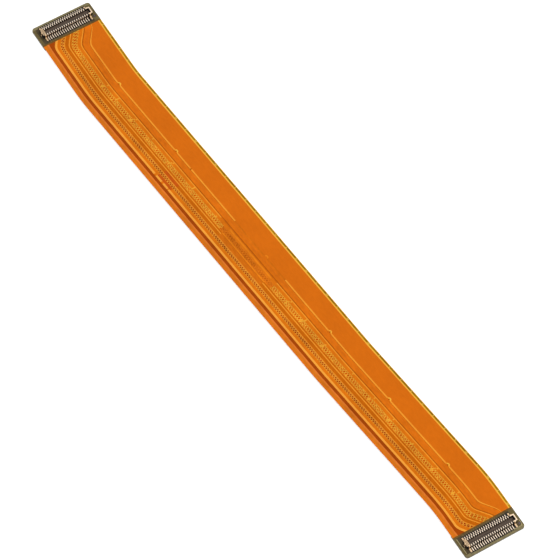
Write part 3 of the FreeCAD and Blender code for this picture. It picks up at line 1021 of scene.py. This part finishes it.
class FLEX_OT_lands(bpy.types.Operator):
    """Lays the gold lands in the mask's windows, with the traces that run on from them"""

    bl_idname = "flex.lands"
    bl_label = "Lands"

    def execute(self, context):
        # The lands take a near-black gold, painted shade between the contacts
        gold, bare = (header_finish("immersion_gold", name) for name in ("land", "marker"))
        row, half = (LAND_START, LAND_END), LAND_WIDTH / 2
        limits = {"land": (*row, -half, half), "leg_land": (*row, -LEG_LAND_HALF, LEG_LAND_HALF),
                  "foot_land": FOOT_LAND, "marker_land": MARKER_LAND,
                  "trace": (LAND_END, HEADER_X - ZONE_X, -half, half)}
        kinds = {name: add_block(name, ranges[:2], ranges[2:], (FILM_TOP, COPPER_TOP))
                 for name, ranges in limits.items()}
        # The piece that is still selected is edited along with the next, so its corners
        # are bevelled once more
        for name, piece in kinds.items():
            bevel_edges(piece, lambda a, b: abs(a.z - b.z) > 1e-6, offset=LAND_CORNER, segments=3)
            break_edges(piece, LAND_EDGE)
            give(piece, bare if name == "marker_land" else gold)
        for end, turn in (("a", 0.0), ("b", math.pi)):
            pieces = [copied(kinds["trace"], "trace", (0, y, 0), turn) for y in CONTACT_PLACES]
            pieces += [both_rows(kinds["land"], "land", CONTACT_PLACES)]
            pieces += [both_rows(kinds["leg_land"], "leg_land", LEG_PLACES)]
            pieces += [copied(kinds[name], name, (0, 0, 0))
                       for name in ("foot_land", "marker_land")]
            lands = joined("gold_lands_" + end, pieces)
            lands.data.transform(Matrix.Translation(HEADERS[end]))
            settle(lands, "contact_pads_" + end, "gold_plating")
        discard(*kinds.values())
        return {"FINISHED"}


class FLEX_OT_solder(bpy.types.Operator):
    """Adds a hollow fillet of solder at the toe of each tail"""

    bl_idname = "flex.solder"
    bl_label = "Solder"

    def execute(self, context):
        sizes = context.scene.flex_sizes
        material = header_finish("reflowed_solder")
        x_range = (TAIL_END, TAIL_END + sizes.solder_length)
        z_range = (COPPER_TOP, COPPER_TOP + sizes.solder_height)

        def on_outer_edge(a, b):
            return min(a.x, b.x) > TAIL_END + 1e-5 and min(a.z, b.z) > COPPER_TOP + 1e-5

        fillets = []
        for name, width, places in (("toe_fillet", sizes.contact_width, CONTACT_PLACES),
                                    ("leg_fillet", LEG_WIDTH, LEG_PLACES)):
            fillet = add_block(name, x_range, (-width / 2, width / 2), z_range)
            bevel_edges(fillet, on_outer_edge, offset=FILLET_BEVEL, segments=4, profile=0.15)
            give(fillet, material)
            smooth(fillet)
            fillets.append(both_rows(fillet, name, places))
            discard(fillet)
        settle_at_ends(joined("toe_fillets", fillets), "solder_joints", "solder")
        return {"FINISHED"}


def window_round(x_low, x_high, y_low, y_high):
    """The limits of the mask's window round a land's."""
    margin = WINDOW_MARGIN
    return x_low - margin, x_high + margin, y_low - margin, y_high + margin


def printed_mask(end, middle):
    """The mask over one end zone, with its windows and the relief of the traces below."""
    left_row = (-LAND_END, -LAND_START, *LAND_ROWS[2:])
    windows = [window_round(*land) for land in (LAND_ROWS, left_row, FOOT_LAND, MARKER_LAND)]
    stubs = [(y - LAND_WIDTH / 2, y + LAND_WIDTH / 2) for y in CONTACT_PLACES]
    side = -1 if end == "a" else 1
    edge = STRIP_Y * side + STRIP_WIDTH / 2 - middle.y
    low, high = sorted((side * ZONE_X, side * END_X))
    cuts = {edge - limit for pair in [w[2:] for w in windows] + stubs for limit in pair}
    rims = {row * MM for row in EDGE_ROWS} | {CORNER_RADIUS}
    rims |= {STRIP_WIDTH - row for row in rims}
    sheet = flat_sheet("mask_" + end, low, high, 2, sorted(rims | cuts))
    score(sheet, "x", sorted({middle.x + limit for w in windows for limit in w[:2]}))
    score(sheet, "x", [side * (END_X - CORNER_RADIUS), side * STUB_START, side * BORDER_END])
    score(sheet, "y", [edge - SHADE_HIGH, edge - SHADE_LOW])

    def local(place):
        return place.x - middle.x, edge - place.y

    def in_window(place, normal):
        x, y = local(place)
        return any(w[0] < x < w[1] and w[2] < y < w[3] for w in windows)

    def on_stub(place):
        x, y = local(place)
        return x * side < -windows[0][1] and any(low < y < high for low, high in stubs)

    def finish_of(place):
        if abs(place.x) < BORDER_END:
            return "mask_border"
        if abs(place.x) > END_X - CORNER_RADIUS:
            return "mask_rim"
        if on_stub(place):
            return "mask_trace"
        return "mask_shade" if SHADE_LOW < local(place)[1] < SHADE_HIGH else "mask"

    select_faces(sheet, in_window)
    with editing(sheet):
        bpy.ops.mesh.delete(type="FACE")
    for face in sheet.data.polygons:
        face.material_index = MASK_FINISHES.index(finish_of(face.center))
    select_faces(sheet, lambda place, normal: on_stub(place) and abs(place.x) > STUB_START)
    with editing(sheet):
        bpy.ops.transform.translate(value=(0, 0, MASK_RELIEF))
    round_corners(sheet)
    lay_on_route(sheet, fanned=False)
    sheet.data.transform(Matrix.Translation((0, 0, MASK_TOP - MASK_RELIEF)))
    return sheet


class FLEX_OT_end_masks(bpy.types.Operator):
    """Prints the olive mask over each end zone, with its windows and the traces' relief"""

    bl_idname = "flex.end_masks"
    bl_label = "End masks"

    def execute(self, context):
        materials = [header_finish("olive_solder", name) for name in MASK_FINISHES]
        for end, middle in HEADERS.items():
            sheet = printed_mask(end, middle)
            give(sheet, *materials)
            thicken(sheet, MASK_TOP - FILM_TOP - MASK_RELIEF)
            break_edges(sheet, MASK_RELIEF)
            settle(sheet, "solder_mask_" + end, "solder_mask")
        return {"FINISHED"}


# The thin lines under the mask at end B, in the header's own frame: where each starts
# and how wide it is, in millimetres, and its runs and bends
MASK_LINES = (
    ((0.35, 5.36), 0.12, [
        (0.75 * MM, 0, 0),
        (Vector((1.1, 4.97, 0)) * MM, (0, 0, 1), -90),
        (0, -1.3 * MM, 0),
    ]),
    ((-1.65, -5.08), 0.12, [(2.9 * MM, 0, 0)]),
    ((0.2, -4.95), 0.2, [(0.14 * MM, 0, 0)]),
)


class FLEX_OT_mask_lines(bpy.types.Operator):
    """Raises the ink over the thin traces that run round the header at end B"""

    bl_idname = "flex.mask_lines"
    bl_label = "Mask lines"

    def execute(self, context):
        ink = header_finish("olive_solder", "mask_line")
        low, high = MASK_TOP - 0.004 * MM, MASK_TOP + 0.012 * MM
        lines = []
        for start, width, moves in MASK_LINES:
            x, y, half = start[0] * MM, start[1] * MM, width / 2 * MM
            line = formed_strip("mask_line", (x, y - half, low), (x, y + half, high), moves)
            break_edges(line, context.scene.flex_sizes.edge_break)
            give(line, ink)
            lines.append(line)
        raised = joined("raised_mask_lines", lines)
        raised.data.transform(Matrix.Translation(HEADERS["b"]))
        settle(raised, None, "solder_mask")
        return {"FINISHED"}


class FLEX_OT_stiffeners(bpy.types.Operator):
    """Breaks the edges of the stiffeners and their adhesive"""

    bl_idname = "flex.stiffeners"
    bl_label = "Stiffeners"

    def execute(self, context):
        laminate, sheet = glass_laminate(), header_finish("cured_bonding_sheet")
        kinds = (("stiffener", laminate, "stiffener_laminate", 0.025),
                 ("stiffener_adhesive", sheet, "adhesive_film", 0.01))
        for node, material, slot, width in kinds:
            for end in HEADERS:
                plate = copied(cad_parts[f"{node}_{end}"], f"cut_{node}_{end}", (0, 0, 0))
                only(plate)
                with editing(plate):
                    bpy.ops.mesh.select_all(action="SELECT")
                    bpy.ops.mesh.remove_doubles(threshold=1e-6)
                    bpy.ops.mesh.dissolve_limited(angle_limit=math.radians(1))
                plate.data.materials.clear()
                give(plate, material)
                break_edges(plate, width * MM, segments=2)
                settle(plate, f"{node}_{end}", slot)
        return {"FINISHED"}


# Finishes

def base_shader(name, shade, roughness, metallic=0.0, specular=0.5):
    """A new material with its shader's fixed values set. Returns it, its tree and shader."""
    material = bpy.data.materials.new(name)
    material.use_nodes = True
    shader = material.node_tree.nodes["Principled BSDF"]
    shader.inputs["Base Color"].default_value = (*shade, 1.0)
    shader.inputs["Roughness"].default_value = roughness
    shader.inputs["Metallic"].default_value = metallic
    shader.inputs["Specular IOR Level"].default_value = specular
    return material, material.node_tree, shader


def grain_noise(tree, grain, detail=3.0, stretch=(1, 1, 1)):
    """Noise that is fixed to the piece, its grain in metres."""
    place = add_node(tree, "ShaderNodeTexCoord")
    spread = add_node(tree, "ShaderNodeMapping", None, Vector=place.outputs["Object"],
                      Scale=stretch)
    return add_node(tree, "ShaderNodeTexNoise", None, Vector=spread.outputs[0], Scale=1 / grain,
                    Detail=detail)


def two_tones(tree, shader, share, shade, depth):
    """Mixes a shader's colour from a darker and a lighter tone of a shade."""
    dark = tuple(c * (1 - depth) for c in shade) + (1.0,)
    light = tuple(min(c * (1 + depth), 1.0) for c in shade) + (1.0,)
    mix = add_node(tree, "ShaderNodeMix", {"data_type": "RGBA"},
                   _0=share.outputs[0], _6=dark, _7=light)
    tree.links.new(mix.outputs[2], shader.inputs["Base Color"])
    return mix


def vary(tree, shader, shade, depth, grain, bump=0.0, stretch=(1, 1, 1)):
    """Gives a shader an uneven colour, and a bump of the same grain, its size in metres."""
    noise = grain_noise(tree, grain, stretch=stretch)
    share = add_node(tree, "ShaderNodeMapRange", None, Value=noise.outputs[0], _1=0.3, _2=0.7)
    mix = two_tones(tree, shader, share, shade, depth)
    if bump > 0:
        relief = add_node(tree, "ShaderNodeBump", None, Height=noise.outputs[0], Strength=0.5,
                          Distance=bump)
        tree.links.new(relief.outputs[0], shader.inputs["Normal"])
    return mix


def amber_film(name):
    """Amber polyimide film, cast and pressed on: a satin face, warm gloss and a rolled grain.

    Over the meshes it hardly shines, as their relief breaks the gloss up.
    """
    shade = tuple(getattr(bpy.context.scene.flex_film, name))
    gloss = 0.01 if "mesh" in name else 0.3
    material, tree, shader = base_shader("polyimide_over_" + name, shade, 0.42, specular=gloss)
    shader.inputs["IOR"].default_value = 1.6
    shader.inputs["Specular Tint"].default_value = (*linear("#C06010"), 1.0)
    grain = grain_noise(tree, 0.35 * MM, stretch=(0.4, 1, 1))
    mottle = grain_noise(tree, 6 * MM, detail=2.0)
    both = add_node(tree, "ShaderNodeMath", {"operation": "ADD"},
                    _0=grain.outputs[0], _1=mottle.outputs[0])
    share = add_node(tree, "ShaderNodeMapRange", None, Value=both.outputs[0], _1=0.6, _2=1.4)
    two_tones(tree, shader, share, shade, 2 * GRAIN_DEPTHS.get(name, 0.1))
    bump = add_node(tree, "ShaderNodeBump", None, Height=grain.outputs[0], Strength=0.15,
                    Distance=0.01 * MM)
    tree.links.new(bump.outputs[0], shader.inputs["Normal"])
    return material


# Finishes of one kind of surface each: how rough it is, and how deep its uneven tone goes
# in what grain, with the grain and the bump in millimetres
FINISHES = {
    # Liquid solder mask, screened and cured: olive, with the faint peel of thick ink
    "olive_solder": {"roughness": 0.55, "specular": 0.15, "depth": 0.22, "grain": 0.6,
                     "bump": 0.01},
    # Thin gold dipped onto a copper land: brown gold, and uneven where the dip was
    "immersion_gold": {"roughness": 0.38, "metallic": 1.0, "depth": 0.08, "grain": 0.2,
                       "bump": 0.004},
    # Rolled copper alloy, formed and gold plated: pale gold with a soft gloss
    "gold_plated": {"roughness": 0.3, "metallic": 1.0, "depth": 0.06, "grain": 0.3},
    # Tin solder after reflow: grey and a little dull
    "reflowed_solder": {"colour": "solder", "roughness": 0.4, "metallic": 1.0, "depth": 0.08,
                        "grain": 0.1, "bump": 0.004},
    # Glass-filled liquid crystal polymer, moulded: dark, matt, streaked along its flow
    "crystal_polymer": {"roughness": 0.55, "specular": 0.25, "depth": 0.35, "grain": 0.14,
                        "bump": 0.006, "stretch": (1, 0.08, 1)},
    # Bonding sheet between film and stiffener, cured: brown and waxy at its edge
    "cured_bonding_sheet": {"colour": "adhesive", "roughness": 0.6, "depth": 0.1, "grain": 0.4},
    # Copper foil, rolled and etched, closed in by the films: bright, with a fine rolled grain
    "etched_copper_foil": {"colour": "copper", "roughness": 0.35, "metallic": 1.0, "depth": 0.1,
                           "grain": 0.3, "stretch": (0.2, 1, 1)},
}


def header_finish(kind, name=None):
    """A finish from the table, in the colour that is named or else in its own."""
    look = FINISHES[kind]
    shade = tuple(getattr(bpy.context.scene.flex_header, name or look["colour"]))
    material, tree, shader = base_shader(
        f"{kind}_{name}" if name else kind, shade, look["roughness"],
        metallic=look.get("metallic", 0.0), specular=look.get("specular", 0.5))
    vary(tree, shader, shade, look["depth"], look["grain"] * MM,
         bump=look.get("bump", 0.0) * MM, stretch=look.get("stretch", (1, 1, 1)))
    return material


# The wave texture has 10 / pi bands to a unit of its scale
YARN_PITCH = 0.5 * MM


def glass_laminate():
    """Epoxy glass laminate, pressed: olive brown, and its woven glass shows as a cross."""
    shade = tuple(bpy.context.scene.flex_header.laminate)
    material, tree, shader = base_shader("epoxy_glass_laminate", shade, 0.45, specular=0.4)
    mix = vary(tree, shader, shade, 0.12, 0.5 * MM)
    place = add_node(tree, "ShaderNodeTexCoord")
    yarns = [add_node(tree, "ShaderNodeTexWave", {"bands_direction": way},
                      Vector=place.outputs["Object"], Scale=math.pi / 10 / YARN_PITCH)
             for way in ("X", "Y")]
    weave = add_node(tree, "ShaderNodeMath", {"operation": "MULTIPLY"},
                     _0=yarns[0].outputs[1], _1=yarns[1].outputs[1])
    pale = tuple(min(c * 1.25, 1.0) for c in shade) + (1.0,)
    woven = add_node(tree, "ShaderNodeMix", {"data_type": "RGBA"},
                     _0=weave.outputs[0], _6=mix.outputs[2], _7=pale)
    tree.links.new(woven.outputs[2], shader.inputs["Base Color"])
    relief = add_node(tree, "ShaderNodeBump", None, Height=weave.outputs[0], Strength=0.4,
                      Distance=0.01 * MM)
    tree.links.new(relief.outputs[0], shader.inputs["Normal"])
    return material


def base_polyimide():
    """Polyimide base film: amber along the strip, and painted near black over the ends, as the
    shade in the mask's windows between the contacts.
    """
    colours = bpy.context.scene.flex_header
    shade = tuple(colours.base_film)
    material, tree, shader = base_shader("polyimide_base_film", shade, 0.4, specular=0.3)
    mix = vary(tree, shader, shade, 0.08, 0.5 * MM)
    place = add_node(tree, "ShaderNodeTexCoord")
    parts = add_node(tree, "ShaderNodeSeparateXYZ", None, Vector=place.outputs["Object"])
    away = add_node(tree, "ShaderNodeMath", {"operation": "ABSOLUTE"}, _0=parts.outputs[0])
    in_end_zone = add_node(tree, "ShaderNodeMath", {"operation": "GREATER_THAN"},
                      _0=away.outputs[0], _1=ZONE_X)
    both = add_node(tree, "ShaderNodeMix", {"data_type": "RGBA"}, _0=in_end_zone.outputs[0],
                    _6=mix.outputs[2], _7=(*colours.bonded_film, 1.0))
    tree.links.new(both.outputs[2], shader.inputs["Base Color"])
    return material


class FLEX_OT_inner_layers(bpy.types.Operator):
    """Gives the layers inside the laminate their real finish"""

    bl_idname = "flex.inner_layers"
    bl_label = "Inner layers"

    def execute(self, context):
        foil = header_finish("etched_copper_foil")
        kinds = {"base_film": base_polyimide(), "top_copper": foil, "bottom_copper": foil,
                 "plated_vias": foil}
        for name, material in kinds.items():
            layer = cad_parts[name]
            layer.data.materials.clear()
            give(layer, material)
        return {"FINISHED"}


# The stage, in metres: what the camera looks at, its film's width in millimetres and its
# reach, the floor, the lamp, how bright the world is as light and as seen, and what share
# of white the floor adds of its own
AIM = Vector((2.193, 0.283, 0.475)) * MM
SENSOR_WIDTH, CAMERA_REACH = 36.0, 10.0
FLOOR_SIZE = 4.0
LAMP_PLACE, LAMP_SIZE = (0.215, 0.3, 0.6), 1.0
WORLD_LIGHT, WORLD_SEEN = 0.74, 1.0
FLOOR_GLOW = 0.55


class StageSettings(bpy.types.PropertyGroup):
    """How the camera stands, as in the reference view, the lamp's power and the floor."""

    azimuth: angle("Azimuth", "Turn of the camera about Z", 53.355)
    elevation: angle("Elevation", "Height of the camera above the floor", 59.536)
    roll: angle("Roll", "Turn of the camera about its view", 5.433)
    distance: length("Distance", "From the camera to the point it looks at", 741.92)
    focal_share: FloatProperty(name="Focal share", default=4576.59 / 560,
                               description="Focal length over the picture's width")
    lamp_power: FloatProperty(name="Lamp power", default=2.0, unit="POWER",
                              description="Power of the soft lamp")
    floor: colour("Floor", "Paint of the floor", "#F4F4F4")


class FLEX_OT_stage(bpy.types.Operator):
    """Adds the floor, the lights and the camera"""

    bl_idname = "flex.stage"
    bl_label = "Stage"

    def execute(self, context):
        settings = context.scene.flex_stage
        bpy.ops.object.select_all(action="DESELECT")
        bpy.ops.mesh.primitive_plane_add(size=FLOOR_SIZE)
        floor = context.object
        floor.name = "floor"
        give(floor, floor_paint(settings))
        turn = Matrix.Rotation(settings.azimuth, 4, "Z")
        tilt = Matrix.Rotation(math.pi / 2 - settings.elevation, 4, "X")
        roll = Matrix.Rotation(settings.roll, 4, "Z")
        place = AIM + (turn @ tilt).to_3x3() @ Vector((0, 0, settings.distance))
        bpy.ops.object.camera_add()
        camera = context.object
        camera.matrix_world = Matrix.Translation(place) @ turn @ tilt @ roll
        camera.data.sensor_width = SENSOR_WIDTH
        camera.data.lens = settings.focal_share * SENSOR_WIDTH
        camera.data.clip_end = CAMERA_REACH
        context.scene.camera = camera
        studio_light(context, settings)
        context.scene.view_settings.view_transform = "Standard"
        return {"FINISHED"}


def seen_directly(tree):
    """1 where the camera looks, straight or by way of metal or glass."""
    path = add_node(tree, "ShaderNodeLightPath")
    either = add_node(tree, "ShaderNodeMath", {"operation": "MAXIMUM"},
                      _0=path.outputs["Is Camera Ray"], _1=path.outputs["Is Glossy Ray"])
    return add_node(tree, "ShaderNodeMath", {"operation": "MAXIMUM"},
                    _0=either.outputs[0], _1=path.outputs["Is Transmission Ray"])


def floor_paint(settings):
    """Matt pale paint. It takes the shadow, and goes white where nothing shades it."""
    shade = tuple(settings.floor)
    material, tree, shader = base_shader("pale_floor_paint", shade, 0.9, specular=0.1)
    share = add_node(tree, "ShaderNodeMath", {"operation": "MULTIPLY"},
                     _0=seen_directly(tree).outputs[0], _1=FLOOR_GLOW)
    shader.inputs["Emission Color"].default_value = (1, 1, 1, 1)
    tree.links.new(share.outputs[0], shader.inputs["Emission Strength"])
    return material


def studio_light(context, settings):
    """A pale world, white to the eye and to reflections, and one large soft lamp."""
    world = context.scene.world or bpy.data.worlds.new("studio")
    context.scene.world = world
    world.use_nodes = True
    tree = world.node_tree
    tree.nodes.clear()
    lit, seen = (add_node(tree, "ShaderNodeBackground", None, Color=(1, 1, 1, 1), Strength=strength)
                 for strength in (WORLD_LIGHT, WORLD_SEEN))
    mix = add_node(tree, "ShaderNodeMixShader", None, Fac=seen_directly(tree).outputs[0],
                   _1=lit.outputs[0], _2=seen.outputs[0])
    add_node(tree, "ShaderNodeOutputWorld", None, Surface=mix.outputs[0])
    bpy.ops.object.light_add(type="AREA", location=LAMP_PLACE)
    lamp = context.object
    lamp.name = "soft_lamp"
    lamp.data.size = LAMP_SIZE
    lamp.data.energy = settings.lamp_power
    lamp.rotation_euler = (-lamp.location).to_track_quat("-Z", "Y").to_euler()


class FLEX_PT_sidebar(bpy.types.Panel):
    """Lists the steps"""

    bl_label = "Flex cable"
    bl_idname = "FLEX_PT_sidebar"
    bl_space_type = "VIEW_3D"
    bl_region_type = "UI"
    bl_category = "Flex cable"

    def draw(self, context):
        for step in STEPS:
            self.layout.operator(step.bl_idname)


STEPS = (
    FLEX_OT_stage,
    FLEX_OT_inner_layers,
    FLEX_OT_top_film,
    FLEX_OT_via_bumps,
    FLEX_OT_bottom_film,
    FLEX_OT_end_masks,
    FLEX_OT_mask_lines,
    FLEX_OT_stiffeners,
    FLEX_OT_lands,
    FLEX_OT_housings,
    FLEX_OT_contacts,
    FLEX_OT_hold_downs,
    FLEX_OT_solder,
)
GROUPS = {
    "flex_stage": StageSettings,
    "flex_film": FilmColours,
    "flex_sizes": HeaderSizes,
    "flex_header": HeaderColours,
}
CLASSES = tuple(GROUPS.values()) + (FLEX_PT_sidebar,) + STEPS


def register():
    for item in CLASSES:
        bpy.utils.register_class(item)
    for name, group in GROUPS.items():
        setattr(bpy.types.Scene, name, PointerProperty(type=group))


def unregister():
    for name in GROUPS:
        delattr(bpy.types.Scene, name)
    for item in reversed(CLASSES):
        bpy.utils.unregister_class(item)


def main():
    register()
    for step in STEPS:
        group, name = step.bl_idname.split(".")
        getattr(getattr(bpy.ops, group), name)()


if __name__ == "__main__":
    main()
